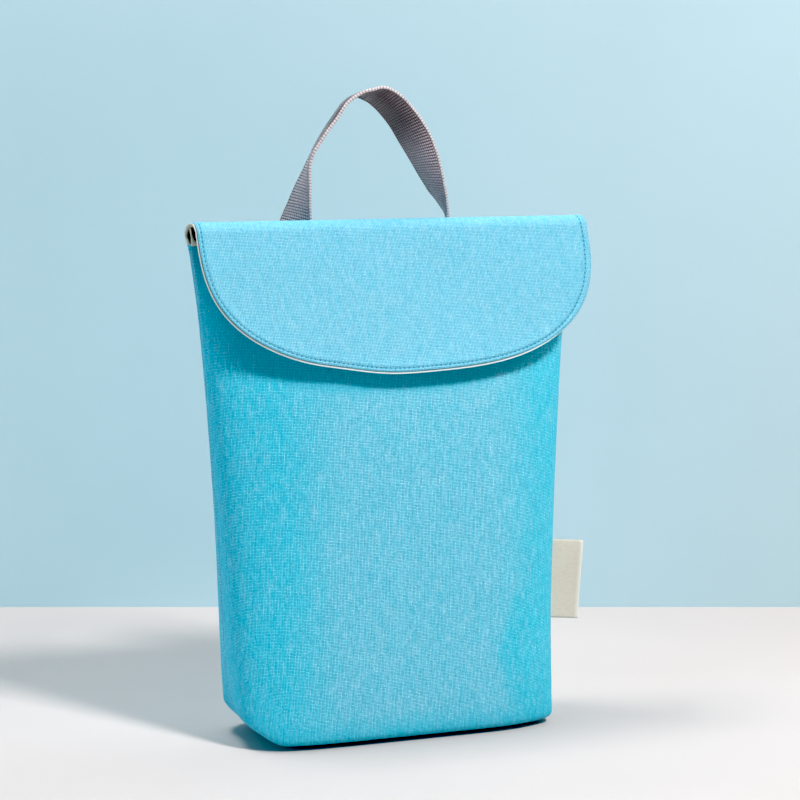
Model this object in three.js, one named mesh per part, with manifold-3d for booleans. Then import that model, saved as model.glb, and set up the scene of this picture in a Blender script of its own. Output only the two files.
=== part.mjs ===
// A soft diaper pouch that stands on a boxed base: two panels, a fold-over flap with a lining,
// a webbing handle behind the fold, a hem on the mouth and a folded label in the side seam.
// Millimetres. The base lies on z = 0, the front faces -Y, the flap folds forward over the top.

import * as THREE from "three";
import Module from "manifold-3d";

// Driving sizes of the pouch
const pouchHeight = 263;
const mouthHeight = 252;
const panelWall = 2;
const seamWall = 4;
const clothGap = 0.3;
const baseEdgeRadius = 7;
const backSeamHeight = 26;
const cornerTuck = 3;
const cornerTuckHeight = 40;
const cornerTuckReach = 14;
const leftLift = 19;
const leftLiftFrom = 62;
const leftLiftHeight = 50;

// Sections of the pouch from the base up to the mouth, measured from the line through the side seams
const pouchSections = [
  { z: 0, half: 84, front: 35.5, back: 31, square: 4.4 },
  { z: 60, half: 87.2, front: 35, back: 30.5, square: 3.4 },
  { z: 120, half: 90.4, front: 33.2, back: 28.6, square: 2.9 },
  { z: 165, half: 93.4, front: 30, back: 25.6, square: 2.6 },
  { z: 195, half: 95.8, front: 25, back: 21.6, square: 2.4 },
  { z: 225, half: 98.9, front: 15.2, back: 15.2, square: 2.2 },
  { z: 252, half: 104.3, front: 6, back: 6, square: 2 },
];

// Driving sizes of the flap, measured along the cloth from the top of the fold
const flapHalf = 103.4;
const flapDrop = 80.9;
const flapSlope = THREE.MathUtils.degToRad(17.5);
const flapCurl = 2;
const flapShift = 2.3;
const flapShear = 3.4;
const flapAcrossPower = 2.34;
const flapDownPower = 2.93;
const flapCloth = 1.2;
const foldRadius = 7.5;
const foldY = -4;
const rootLength = 24;
const rootHalf = 95;
const liningCloth = 1;
const liningShow = 0.4;
const liningRoot = 5;
const liningGap = 0.5;

// Driving sizes of the mouth hem, the handle webbing and the side label
const hemHeight = 4;
const hemStartAngle = THREE.MathUtils.degToRad(8);
const webbingWidth = 20;
const webbingThick = 1.6;
const webbingEdge = 0.5;
const webbingOnPanel = 2.2;
const labelHeight = 42;
const labelReach = 20;
const labelPly = 0.8;
const labelFoldRadius = 1.1;
const labelBend = 3;
const labelMiddle = 71;
const labelStandOff = 1;

// Numbers of facets
const ringPoints = 56;
const pouchLevels = 12;
const baseShares = [0.8, 0.92];
const flapColumns = 32;
const flapRows = 20;
const foldFrom = 0.15;
const foldTo = 0.65;
const foldRootShare = 0.8;
const hemColumns = 28;
const webbingSteps = 58;
const labelSteps = 8;

// A smooth value between the rows of a table, with slopes taken from the neighbouring rows
function fromTable(rows, along, at, column) {
  const last = rows.length - 1;
  let i = 0;
  while (i < last - 1 && at > rows[i + 1][along]) {
    i += 1;
  }
  const slope = (k) => {
    const low = rows[Math.max(k - 1, 0)];
    const high = rows[Math.min(k + 1, last)];
    return (high[column] - low[column]) / (high[along] - low[along]);
  };
  const span = rows[i + 1][along] - rows[i][along];
  const t = THREE.MathUtils.clamp((at - rows[i][along]) / span, 0, 1);
  const rise = t * t * (3 - 2 * t);
  const leave = t * (1 - t) * (1 - t) * span * slope(i);
  const arrive = t * t * (1 - t) * span * slope(i + 1);
  return rows[i][column] + (rows[i + 1][column] - rows[i][column]) * rise + leave - arrive;
}

// The pouch's section at a height, thinned all round for the inside
function sectionAt(z, wall, endWall) {
  return {
    half: fromTable(pouchSections, "z", z, "half") - endWall,
    front: fromTable(pouchSections, "z", z, "front") - wall,
    back: fromTable(pouchSections, "z", z, "back") - wall,
    square: fromTable(pouchSections, "z", z, "square"),
  };
}

// A point on a section: angle 0 is the right seam, the back follows, then the left seam and the front
function sectionPoint(section, angle, z) {
  const across = Math.cos(angle);
  const deep = Math.sin(angle);
  const power = 2 / section.square;
  const depth = deep < 0 ? section.front : section.back;
  const x = section.half * Math.sign(across) * Math.abs(across) ** power;
  const y = depth * Math.sign(deep) * Math.abs(deep) ** power;
  const low = THREE.MathUtils.clamp(1 - z / cornerTuckHeight, 0, 1);
  const beside = THREE.MathUtils.clamp(1 - Math.abs(y) / cornerTuckReach, 0, 1);
  const tuck = cornerTuck * low * low * beside * beside * (3 - 2 * beside);
  return new THREE.Vector3(x - Math.sign(x) * tuck, y, z);
}

// The left end of the base stands off the ground: a place rises more towards that end and near the ground
function lifted(point) {
  const end = pouchSections[0].half;
  const beyond = THREE.MathUtils.clamp((-point.x - leftLiftFrom) / (end - leftLiftFrom), 0, 1);
  const low = THREE.MathUtils.clamp(1 - point.z / leftLiftHeight, 0, 1);
  point.z += leftLift * beyond * beyond * low * low;
  return point;
}

// How far back the outside of the back panel stands at a place
function backOfPouch(x, z) {
  const section = sectionAt(z, 0, 0);
  const share = Math.min(Math.abs(x) / section.half, 1);
  return section.back * (1 - share ** section.square) ** (1 / section.square);
}

// A mesh from its points and the corners of its triangles
function meshOf(points, faces) {
  const geometry = new THREE.BufferGeometry();
  const flat = points.flatMap((point) => point.toArray());
  geometry.setAttribute("position", new THREE.Float32BufferAttribute(flat, 3));
  geometry.setIndex(faces);
  return geometry;
}

// A solid lofted through closed rings, capped at both ends by fans
function loftRings(rings) {
  const points = rings.flat();
  const count = rings[0].length;
  const faces = [];
  for (let level = 0; level < rings.length - 1; level += 1) {
    for (let i = 0; i < count; i += 1) {
      const a = level * count + i;
      const b = level * count + ((i + 1) % count);
      faces.push(a, b, b + count, a, b + count, a + count);
    }
  }
  const ends = [
    { ring: rings[0], first: 0, turned: true },
    { ring: rings.at(-1), first: (rings.length - 1) * count, turned: false },
  ];
  for (const end of ends) {
    const middle = end.ring.reduce((sum, point) => sum.add(point), new THREE.Vector3());
    const centre = points.push(middle.divideScalar(count)) - 1;
    for (let i = 0; i < count; i += 1) {
      const a = end.first + i;
      const b = end.first + ((i + 1) % count);
      faces.push(centre, end.turned ? b : a, end.turned ? a : b);
    }
  }
  return meshOf(points, faces);
}

// A sheet of cloth with an outer and an inner face, closed along its four edges
function loftSheet(columns, rows, outerAt, innerAt) {
  const points = [];
  for (const at of [outerAt, innerAt]) {
    for (let j = 0; j <= rows; j += 1) {
      for (let i = 0; i <= columns; i += 1) {
        points.push(at(i / columns, j / rows));
      }
    }
  }
  const wide = columns + 1;
  const inner = wide * (rows + 1);
  const faces = [];
  const quad = (a, b, c, d) => faces.push(a, b, c, a, c, d);
  for (let j = 0; j < rows; j += 1) {
    for (let i = 0; i < columns; i += 1) {
      const a = j * wide + i;
      quad(a, a + 1, a + 1 + wide, a + wide);
      quad(inner + a, inner + a + wide, inner + a + 1 + wide, inner + a + 1);
    }
  }
  for (let i = 0; i < columns; i += 1) {
    const top = rows * wide + i;
    quad(i + 1, i, inner + i, inner + i + 1);
    quad(top, top + 1, inner + top + 1, inner + top);
  }
  for (let j = 0; j < rows; j += 1) {
    const left = j * wide;
    const right = left + columns;
    quad(left, left + wide, inner + left + wide, inner + left);
    quad(right + wide, right, inner + right, inner + right + wide);
  }
  return meshOf(points, faces);
}

// Joining and cutting of solids
const wasm = await Module();
wasm.setup();

function solidOf(geometry) {
  return new wasm.Manifold(
    new wasm.Mesh({
      numProp: 3,
      vertProperties: new Float32Array(geometry.getAttribute("position").array),
      triVerts: new Uint32Array(geometry.getIndex().array),
    }),
  );
}

function geometryOf(solid) {
  const mesh = solid.getMesh();
  const geometry = new THREE.BufferGeometry();
  const positions = [];
  for (let i = 0; i < mesh.numVert; i += 1) {
    positions.push(...mesh.vertProperties.slice(i * mesh.numProp, i * mesh.numProp + 3));
  }
  geometry.setAttribute("position", new THREE.Float32BufferAttribute(positions, 3));
  geometry.setIndex([...mesh.triVerts]);
  return geometry;
}

// A box as eight corners, large enough to hold everything behind a plane and above a height
function boxBetween(low, high) {
  const corner = (x, y, z) => new THREE.Vector3(x, y, z);
  const ring = (z) => [
    corner(high.x, high.y, z),
    corner(low.x, high.y, z),
    corner(low.x, low.y, z),
    corner(high.x, low.y, z),
  ];
  return loftRings([ring(low.z), ring(high.z)]);
}

// Heights of the loft's levels, closer together on the rounded bottom edge
function levelsFrom(lowest, highest) {
  const heights = [];
  const edgeSteps = 4;
  for (let i = 0; i < edgeSteps; i += 1) {
    heights.push(lowest + baseEdgeRadius * (1 - Math.cos((i / edgeSteps) * (Math.PI / 2))));
  }
  for (let i = 0; i <= pouchLevels; i += 1) {
    heights.push(THREE.MathUtils.lerp(lowest + baseEdgeRadius, highest, i / pouchLevels));
  }
  return heights;
}

// Rings of the pouch: first the base, from its flat middle outwards, then the rounded edge and the walls
function pouchRings(lowest, highest, wall, endWall) {
  const rings = levelsFrom(lowest, highest).map((z) => {
    const section = sectionAt(Math.min(z, mouthHeight), wall, endWall);
    const under = Math.max(baseEdgeRadius - (z - lowest), 0);
    const inset = baseEdgeRadius - Math.sqrt(baseEdgeRadius ** 2 - under ** 2);
    section.half -= inset;
    section.front -= inset;
    section.back -= inset;
    const ring = [];
    for (let i = 0; i < ringPoints; i += 1) {
      ring.push(sectionPoint(section, (i / ringPoints) * Math.PI * 2, z));
    }
    return ring;
  });
  const base = baseShares.map((share) => {
    const inwards = new THREE.Vector3(share, share, 1);
    return rings[0].map((point) => point.clone().multiply(inwards));
  });
  return [...base, ...rings].map((ring) => ring.map(lifted));
}

// The hollow pouch, parted along the side seams and along the seam low on the back
function makePanels() {
  const clear = 40;
  const outside = solidOf(loftRings(pouchRings(0, mouthHeight, 0, 0)));
  const inside = solidOf(loftRings(pouchRings(panelWall, mouthHeight + clear, panelWall, seamWall)));
  const shell = outside.subtract(inside);
  const far = pouchHeight;
  const corner = (away) => new THREE.Vector3(-far, away, backSeamHeight + away);
  const end = new THREE.Vector3(far, far, mouthHeight + far);
  const behind = solidOf(boxBetween(corner(clothGap / 2), end));
  const notFront = solidOf(boxBetween(corner(-clothGap / 2), end));
  return {
    front: geometryOf(shell.subtract(notFront)),
    back: geometryOf(shell.intersect(behind)),
  };
}

// The length of cloth on the front of the fold, where the flap's straight sides end
const foldFront = foldRadius * (Math.PI / 2 - flapSlope);

// The front of the flap in side view: how far forward and up it lies at a length from the top of the fold
function flapFront(length) {
  const turn = Math.min(length, foldFront) / foldRadius;
  const run = length - foldRadius * turn;
  const curl = flapCurl * (run / flapDrop) ** 2;
  return {
    y: foldY - foldRadius * Math.sin(turn) - run * Math.sin(flapSlope) - curl,
    z: pouchHeight - foldRadius + foldRadius * Math.cos(turn) - run * Math.cos(flapSlope),
  };
}

// The back of the fold: the cloth turns down onto the outside of the back panel and runs on to its root
function flapBack(x, length) {
  const turn = Math.min(length / foldRadius, Math.PI / 2);
  const z = pouchHeight - foldRadius + foldRadius * Math.cos(turn) - (length - foldRadius * turn);
  const onPanel = backOfPouch(x, Math.min(z, mouthHeight)) + flapCloth + 2 * clothGap;
  return { y: THREE.MathUtils.lerp(foldY, onPanel, Math.sin(turn)), z };
}

// A place on the flap: x across at the fold, length along the cloth, forward of the fold or behind it
function flapPlace(x, length) {
  const place = length < 0 ? flapBack(x, -length) : flapFront(length);
  const forward = Math.max(length, 0) / flapDrop;
  return new THREE.Vector3(x + flapShift + flapShear * forward, place.y, place.z);
}

// The flap's outline as a superellipse under the fold: how long the cloth is at a share of its half width
function flapReach(share, extra) {
  const inside = Math.max(1 - Math.abs(share) ** flapAcrossPower, 0);
  return foldFront + (flapDrop + extra - foldFront) * inside ** (1 / flapDownPower);
}

// A point a depth under the flap's outer face, square to the cloth in side view
function underFlap(x, length, depth) {
  const step = 0.01;
  const here = flapPlace(x, length);
  const along = flapPlace(x, length + step).sub(flapPlace(x, length - step)).normalize();
  return here.add(new THREE.Vector3(0, -along.z, along.y).multiplyScalar(depth));
}

// The lengths a column of the flap passes through: its root, the two ends of the fold and the curved edge
function flapLength(v, root, reach) {
  const foldStart = -Math.min(foldRadius * (Math.PI / 2), root * foldRootShare);
  if (v < foldFrom) {
    return THREE.MathUtils.lerp(-root, foldStart, v / foldFrom);
  }
  if (v < foldTo) {
    return THREE.MathUtils.lerp(foldStart, foldFront, (v - foldFrom) / (foldTo - foldFrom));
  }
  return THREE.MathUtils.lerp(foldFront, reach, (v - foldTo) / (1 - foldTo));
}

// A face of the flap: u runs across from the right, v from the root to the curved edge
function flapFace(shape, depth) {
  return (u, v) => {
    const share = Math.sin((0.5 - u) * Math.PI);
    const length = flapLength(v, shape.root, flapReach(share, shape.extra));
    const narrow = THREE.MathUtils.clamp(-length / shape.root, 0, 1);
    const half = THREE.MathUtils.lerp(flapHalf + shape.extra, shape.rootHalf, narrow * narrow);
    return underFlap(share * half, length, depth);
  };
}

function makeFlap() {
  const shape = { root: rootLength, rootHalf, extra: 0 };
  return loftSheet(flapColumns, flapRows, flapFace(shape, 0), flapFace(shape, flapCloth));
}

function makeLining() {
  const shape = { root: liningRoot, rootHalf: flapHalf, extra: liningShow };
  const top = flapCloth + liningGap;
  return loftSheet(flapColumns, flapRows, flapFace(shape, top), flapFace(shape, top + liningCloth));
}

// The hem stands on the front panel's top edge, from seam to seam
function makeHem() {
  const faceAt = (wall) => (u, v) => {
    const angle = THREE.MathUtils.lerp(Math.PI + hemStartAngle, 2 * Math.PI - hemStartAngle, u);
    const point = sectionPoint(sectionAt(mouthHeight, wall, wall), angle, mouthHeight);
    point.z += clothGap + v * hemHeight;
    return point;
  };
  return loftSheet(hemColumns, 1, faceAt(0), faceAt(panelWall));
}

// The handle's centre line and the way its width faces: turn is measured in plan from straight back
// towards +X, dip is how far the width's back edge hangs
const leftLegX = -45;
const rightLegX = 39.5;
const legEndHeight = 212;
const legSewnHeight = 230;
const webbingRows = [
  { x: leftLegX, y: backOfPouch(leftLegX, legEndHeight) + webbingOnPanel, z: legEndHeight, turn: -90, dip: 0 },
  { x: leftLegX, y: backOfPouch(leftLegX, legSewnHeight) + webbingOnPanel, z: legSewnHeight, turn: -88, dip: 0 },
  { x: -44.6, y: 16.5, z: 241, turn: -77, dip: 0 },
  { x: -43.7, y: 16.8, z: 252, turn: -55, dip: 1 },
  { x: -42.1, y: 15.4, z: 264, turn: -30, dip: 2 },
  { x: -40.6, y: 15, z: 271.7, turn: -16, dip: 2 },
  { x: -39.1, y: 14.5, z: 278.7, turn: -6, dip: 2 },
  { x: -37.8, y: 14, z: 284.5, turn: 4, dip: 2 },
  { x: -36.6, y: 13.5, z: 289.9, turn: 11, dip: 1 },
  { x: -34.7, y: 13, z: 295.2, turn: 15, dip: 0 },
  { x: -31.6, y: 12.6, z: 300.8, turn: 14, dip: -1 },
  { x: -27.6, y: 12.3, z: 306.9, turn: 13, dip: -1 },
  { x: -23.3, y: 12.2, z: 312.7, turn: 12, dip: -2 },
  { x: -17.1, y: 12.5, z: 320.7, turn: 14, dip: -2 },
  { x: -9.8, y: 12.9, z: 325.2, turn: 12, dip: 3 },
  { x: -3.9, y: 13.5, z: 325.5, turn: 3, dip: 16 },
  { x: 1.2, y: 14, z: 324.4, turn: -10, dip: 24 },
  { x: 7.6, y: 14, z: 319.8, turn: -20, dip: 26 },
  { x: 14.1, y: 14, z: 312.5, turn: -27, dip: 23 },
  { x: 20, y: 14, z: 303.6, turn: -31, dip: 21 },
  { x: 24.9, y: 14.5, z: 294.7, turn: -24, dip: 19 },
  { x: 29.5, y: 15.5, z: 284.9, turn: -13, dip: 15 },
  { x: 33.3, y: 16.5, z: 276.5, turn: -1, dip: 13 },
  { x: 36, y: 17, z: 271.1, turn: 8, dip: 10 },
  { x: 38.8, y: 17.4, z: 263.9, turn: 19, dip: 6 },
  { x: 40.2, y: 17.4, z: 256.5, turn: 37, dip: 2 },
  { x: 40.2, y: 16.6, z: 248, turn: 60, dip: 0 },
  { x: 39.8, y: 15.6, z: 239, turn: 79, dip: 0 },
  { x: rightLegX, y: backOfPouch(rightLegX, legSewnHeight) + webbingOnPanel, z: legSewnHeight, turn: 88, dip: 0 },
  { x: rightLegX, y: backOfPouch(rightLegX, legEndHeight) + webbingOnPanel, z: legEndHeight, turn: 90, dip: 0 },
];

// A flat webbing swept along its rows, its corners taken off
function makeHandle() {
  const line = new THREE.CatmullRomCurve3(webbingRows.map((row) => new THREE.Vector3(row.x, row.y, row.z)));
  const halfWide = webbingWidth / 2;
  const halfThick = webbingThick / 2;
  const outline = [
    { wide: -halfWide, thick: halfThick - webbingEdge },
    { wide: -halfWide, thick: webbingEdge - halfThick },
    { wide: webbingEdge - halfWide, thick: -halfThick },
    { wide: halfWide - webbingEdge, thick: -halfThick },
    { wide: halfWide, thick: webbingEdge - halfThick },
    { wide: halfWide, thick: halfThick - webbingEdge },
    { wide: halfWide - webbingEdge, thick: halfThick },
    { wide: webbingEdge - halfWide, thick: halfThick },
  ];
  const rows = webbingRows.map((row, index) => ({ ...row, index }));
  const rings = [];
  for (let step = 0; step <= webbingSteps; step += 1) {
    const t = step / webbingSteps;
    const at = t * (rows.length - 1);
    const turn = THREE.MathUtils.degToRad(fromTable(rows, "index", at, "turn"));
    const dip = THREE.MathUtils.degToRad(fromTable(rows, "index", at, "dip"));
    const along = line.getTangent(t);
    const wide = new THREE.Vector3(
      Math.sin(turn) * Math.cos(dip),
      Math.cos(turn) * Math.cos(dip),
      -Math.sin(dip),
    );
    wide.addScaledVector(along, -wide.dot(along)).normalize();
    const face = new THREE.Vector3().crossVectors(along, wide);
    const centre = line.getPoint(t);
    rings.push(
      outline.map((point) =>
        centre.clone().addScaledVector(wide, point.wide).addScaledVector(face, point.thick),
      ),
    );
  }
  return loftRings(rings);
}

// The label: a ribbon folded double, both plies bent a little towards the front
function makeLabel() {
  const outer = labelFoldRadius;
  const inner = labelFoldRadius - labelPly;
  const bendAt = (x) => -labelBend * (x / labelReach) ** 2;
  const outline = new THREE.Shape();
  const straight = labelReach - outer;
  const trace = (side, from, to) => {
    for (let i = 0; i <= labelSteps; i += 1) {
      const x = THREE.MathUtils.lerp(from, to, i / labelSteps);
      outline.lineTo(x, bendAt(x) + side);
    }
  };
  const round = (radius, from, to) => {
    for (let i = 1; i < labelSteps; i += 1) {
      const angle = THREE.MathUtils.lerp(from, to, i / labelSteps);
      outline.lineTo(straight + radius * Math.cos(angle), bendAt(straight) + radius * Math.sin(angle));
    }
  };
  outline.moveTo(0, -outer);
  trace(-outer, 0, straight);
  round(outer, -Math.PI / 2, Math.PI / 2);
  trace(outer, straight, 0);
  trace(inner, 0, straight);
  round(inner, Math.PI / 2, -Math.PI / 2);
  trace(-inner, straight, 0);
  const geometry = new THREE.ExtrudeGeometry(outline, { depth: labelHeight, bevelEnabled: false });
  const low = sectionAt(labelMiddle - labelHeight / 2, 0, 0).half;
  const high = sectionAt(labelMiddle + labelHeight / 2, 0, 0).half;
  geometry.rotateY(Math.atan2(high - low, labelHeight));
  geometry.translate(low + labelStandOff, 0, labelMiddle - labelHeight / 2);
  return geometry;
}

// Each piece as a named mesh with a material of its own
function addPiece(group, name, geometry, look) {
  geometry.computeVertexNormals();
  const mesh = new THREE.Mesh(geometry, new THREE.MeshStandardMaterial(look));
  mesh.name = name;
  group.add(mesh);
}

const skyBlue = { color: 0x6cc4e4, roughness: 0.9, metalness: 0 };
const cream = { color: 0xe4dccb, roughness: 0.85, metalness: 0 };
const grey = { color: 0x85818a, roughness: 0.8, metalness: 0 };

const pouch = new THREE.Group();
const panels = makePanels();
addPiece(pouch, "front_panel", panels.front, skyBlue);
addPiece(pouch, "back_panel", panels.back, skyBlue);
addPiece(pouch, "flap", makeFlap(), skyBlue);
addPiece(pouch, "flap_lining", makeLining(), cream);
addPiece(pouch, "mouth_hem", makeHem(), cream);
addPiece(pouch, "handle_strap", makeHandle(), grey);
addPiece(pouch, "side_label", makeLabel(), cream);

export default pouch;
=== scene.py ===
from itertools import accumulate
from math import copysign, cos, dist, exp, pi, radians, sin, sqrt
import bpy
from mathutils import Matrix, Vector, noise


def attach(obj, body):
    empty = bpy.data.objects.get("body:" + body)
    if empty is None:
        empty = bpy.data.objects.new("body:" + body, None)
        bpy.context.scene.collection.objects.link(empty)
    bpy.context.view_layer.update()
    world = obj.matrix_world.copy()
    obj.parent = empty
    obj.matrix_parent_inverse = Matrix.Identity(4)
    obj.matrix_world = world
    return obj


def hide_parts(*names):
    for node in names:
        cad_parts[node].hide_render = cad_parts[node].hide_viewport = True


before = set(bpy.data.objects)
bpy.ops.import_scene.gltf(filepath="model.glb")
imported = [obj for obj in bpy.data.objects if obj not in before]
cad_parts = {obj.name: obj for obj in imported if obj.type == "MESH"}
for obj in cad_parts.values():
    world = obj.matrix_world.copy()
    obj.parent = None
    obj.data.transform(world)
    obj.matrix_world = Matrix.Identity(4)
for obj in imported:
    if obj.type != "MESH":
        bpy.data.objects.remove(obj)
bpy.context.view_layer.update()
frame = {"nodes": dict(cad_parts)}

mm = 0.001
print("frame loaded, nodes:", ", ".join(frame["nodes"]))


# small sums used all over

def clamp(value):
    return max(0.0, min(1.0, value))


def blend(a, b, t):
    return a + (b - a) * t


def evenly(a, b, count):
    return [blend(a, b, i / count) for i in range(count + 1)]


def ease(t):
    t = clamp(t)
    return t * t * (3 - 2 * t)


def past(value, start, over):
    # 0 up to a start, then a soft rise to 1
    return ease((value - start) / over)


def near(value, reach):
    return clamp(1 - value / reach) ** 2


def hump(at, high, where, wide):
    return high * exp(-(((at - where) / wide) ** 2))


def fromTable(rows, along, at, column):
    # smooth value between the rows of a table
    last = len(rows) - 1
    i = 0
    while i < last - 1 and at > rows[i + 1][along]:
        i += 1

    def slope(k):
        low, high = rows[max(k - 1, 0)], rows[min(k + 1, last)]
        return (high[column] - low[column]) / (high[along] - low[along])

    span = rows[i + 1][along] - rows[i][along]
    t = clamp((at - rows[i][along]) / span)
    rise = (rows[i + 1][column] - rows[i][column]) * t * t * (3 - 2 * t)
    leave = t * (1 - t) ** 2 * span * slope(i)
    arrive = t * t * (1 - t) * span * slope(i + 1)
    return rows[i][column] + rise + leave - arrive


def lengthsOf(line):
    return [0.0, *accumulate(dist(a, b) for a, b in zip(line, line[1:]))]


def walk(reach, wanted):
    # the step on which each wanted length lies, and how far along that step; wanted lengths rise
    k = 0
    for want in wanted:
        while k < len(reach) - 2 and reach[k + 1] < want:
            k += 1
        yield k, clamp((want - reach[k]) / (reach[k + 1] - reach[k]))


def pointsAt(line, wanted):
    found = walk(lengthsOf(line), wanted)
    return [tuple(blend(a, b, t) for a, b in zip(line[k], line[k + 1])) for k, t in found]


# node trees: one class wraps a socket for sums, the other adds nodes

class Sock:
    def __init__(self, tree, socket):
        self.tree = tree
        self.socket = socket


def addSum(mark, operation):
    # a sum in the script makes a math node in the tree
    setattr(Sock, "__" + mark + "__", lambda a, b: a.tree.sum(operation, a, b))
    setattr(Sock, "__r" + mark + "__", lambda a, b: a.tree.sum(operation, b, a))


addSum("add", "ADD")
addSum("sub", "SUBTRACT")
addSum("mul", "MULTIPLY")
addSum("truediv", "DIVIDE")
addSum("pow", "POWER")
addSum("mod", "FLOORED_MODULO")


class Tree:
    def __init__(self, tree):
        self.tree = tree

    def node(self, kind, inputs={}, **settings):
        made = self.tree.nodes.new(kind)
        for name, value in settings.items():
            setattr(made, name, value)
        for key, value in inputs.items():
            if isinstance(value, Sock):
                self.tree.links.new(value.socket, made.inputs[key])
            else:
                made.inputs[key].default_value = value
        return made

    def get(self, kind, inputs={}, out=0, **settings):
        return Sock(self, self.node(kind, inputs, **settings).outputs[out])

    def sum(self, operation, *values):
        return self.get("ShaderNodeMath", dict(enumerate(values)), operation=operation)

    def past(self, value, start, over):
        return self.get("ShaderNodeClamp", {0: (value - start) / over})

    def wave(self, at, period):
        # ridges with round tops, one for each period
        return self.sum("ABSOLUTE", self.sum("SINE", at * (pi / period)))

    def ramp(self, at, *stops):
        made = self.node("ShaderNodeValToRGB", {0: at})
        elements = made.color_ramp.elements
        while len(elements) < len(stops):
            elements.new(0.5)
        for element, (place, colour) in zip(elements, stops):
            element.position = place
            element.color = (*colour, 1)
        return Sock(self, made.outputs[0])

    def mixColour(self, factor, a, b, kind="MIX"):
        # inputs 6 and 7 of this node are its colours
        b = (*b, 1) if isinstance(b, tuple) else b
        return self.get("ShaderNodeMix", {0: factor, 6: a, 7: b}, 2, data_type="RGBA", blend_type=kind)

    def bump(self, strength, distance, height):
        return self.get("ShaderNodeBump", {"Strength": strength, "Distance": distance, "Height": height})

    def reading(self, name):
        return self.get("ShaderNodeAttribute", out=2, attribute_name=name)


# meshes

def addObject(name, data):
    made = bpy.data.objects.new(name, data)
    bpy.context.scene.collection.objects.link(made)
    return made


def makePiece(name, points, faces, flat, materials, marks={}, thick=0):
    # points in mm, the place of each face corner on the flat cloth, and marks kept at the points
    mesh = bpy.data.meshes.new(name)
    mesh.from_pydata([(x * mm, y * mm, z * mm) for x, y, z in points], [], faces)
    if flat:
        uv = mesh.uv_layers.new(name="cloth")
        for corner, (u, v) in zip(uv.data, [place for face in flat for place in face]):
            corner.uv = (u * mm, v * mm)
    for mark, values in marks.items():
        layer = mesh.attributes.new(mark, "FLOAT", "POINT")
        layer.data.foreach_set("value", values)
    for material in materials:
        mesh.materials.append(material)
    mesh.polygons.foreach_set("use_smooth", [True] * len(mesh.polygons))
    mesh.update()
    piece = addObject(name, mesh)
    if thick:
        wall = piece.modifiers.new("wall", "SOLIDIFY")
        wall.thickness = thick * mm
        wall.offset = -1
        wall.material_offset = len(materials) - 1  # the inside has the last material
        wall.material_offset_rim = len(materials) - 1
    return piece


def cornersOf(faces, flat):
    return [[flat[i] for i in face] for face in faces]


def gridFaces(wide, high):
    return [(j * wide + i, j * wide + i + 1, (j + 1) * wide + i + 1, (j + 1) * wide + i)
            for j in range(high - 1) for i in range(wide - 1)]


def standFor(piece, slot, *nodes):
    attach(piece, "root")
    if nodes:
        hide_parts(*nodes)


# cloth, webbing, ribbon and thread

def newMaterial(name):
    material = bpy.data.materials.new(name)
    material.use_nodes = True
    material.node_tree.nodes.clear()
    return material, Tree(material.node_tree)


def finishMaterial(tree, inputs):
    shader = tree.node("ShaderNodeBsdfPrincipled", inputs)
    out = tree.node("ShaderNodeOutputMaterial")
    tree.tree.links.new(shader.outputs[0], out.inputs[0])


def flatPlace(tree):
    # millimetres across and along the flat cloth
    uv = tree.get("ShaderNodeUVMap", uv_map="cloth")
    parts = tree.node("ShaderNodeSeparateXYZ", {0: uv})
    return Sock(tree, parts.outputs[0]) / mm, Sock(tree, parts.outputs[1]) / mm


def pair(tree, x, y, z=0.0):
    return tree.get("ShaderNodeCombineXYZ", {0: x, 1: y, 2: z})


def streaks(tree, across, along, wide, long, seed):
    # slow change along a thread, quick change from thread to thread
    place = pair(tree, across / wide, along / long, seed)
    return tree.get("ShaderNodeTexNoise", {"Vector": place, "Scale": 1.0, "Detail": 2.0})


def shown(onTop, warp, weft):
    return onTop * warp + (1 - onTop) * weft


def plainWeave(tree, u, v, pitch):
    # which thread lies on top, and how round it stands
    warp, weft = tree.sum("FLOOR", u / pitch), tree.sum("FLOOR", v / pitch)
    onTop = (warp + weft) % 2.0
    roundU, roundV = [1 - (2 * tree.sum("FRACT", at / pitch) - 1) ** 2.0 for at in (u, v)]
    height = shown(onTop, roundU * (0.4 + 0.6 * roundV), roundV * (0.4 + 0.6 * roundU))
    return warp, weft, onTop, height


sky = {
    "thread": 0.75, "uneven": 0.5,  # mm
    # streaks: how wide, in mm or threads, how long in mm, and their place in the noise
    "warpSway": (1.6, 7.0, 2.7), "weftSway": (1.6, 5.0, 5.2),
    "warpTone": (1.3, 6.0, 1.3), "weftTone": (1.3, 4.0, 7.9), "toneShare": 0.3,
    "warpDash": (0.37, 4.0, 6.6), "weftDash": (0.37, 2.0, 3.1), "dashShare": 0.3,
    "slub": (1.5, 13.0, 4.1), "slubShare": 0.3, "cloud": (9.0, 14.0, 8.2), "cloudShare": 0.1,
    "deep": (0.035, 0.575, 0.76), "mean": (0.082, 0.59, 0.772), "light": (0.20, 0.605, 0.785), "spread": 0.14,
    # a pale for wear on the seams' ridges and for painted highlight, and the colour of painted shade
    "wearAndHighlight": (0.37, 0.63, 0.77), "paleLeast": 0.35, "paleRise": 0.9, "paleMost": 0.75,
    "paintedShade": (0.004, 0.20, 0.34),
    "weaveShade": 1.1, "meanHeight": 0.53, "dashShade": 0.8, "shadeTint": (2.0, 1.0, 0.7),
}


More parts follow.
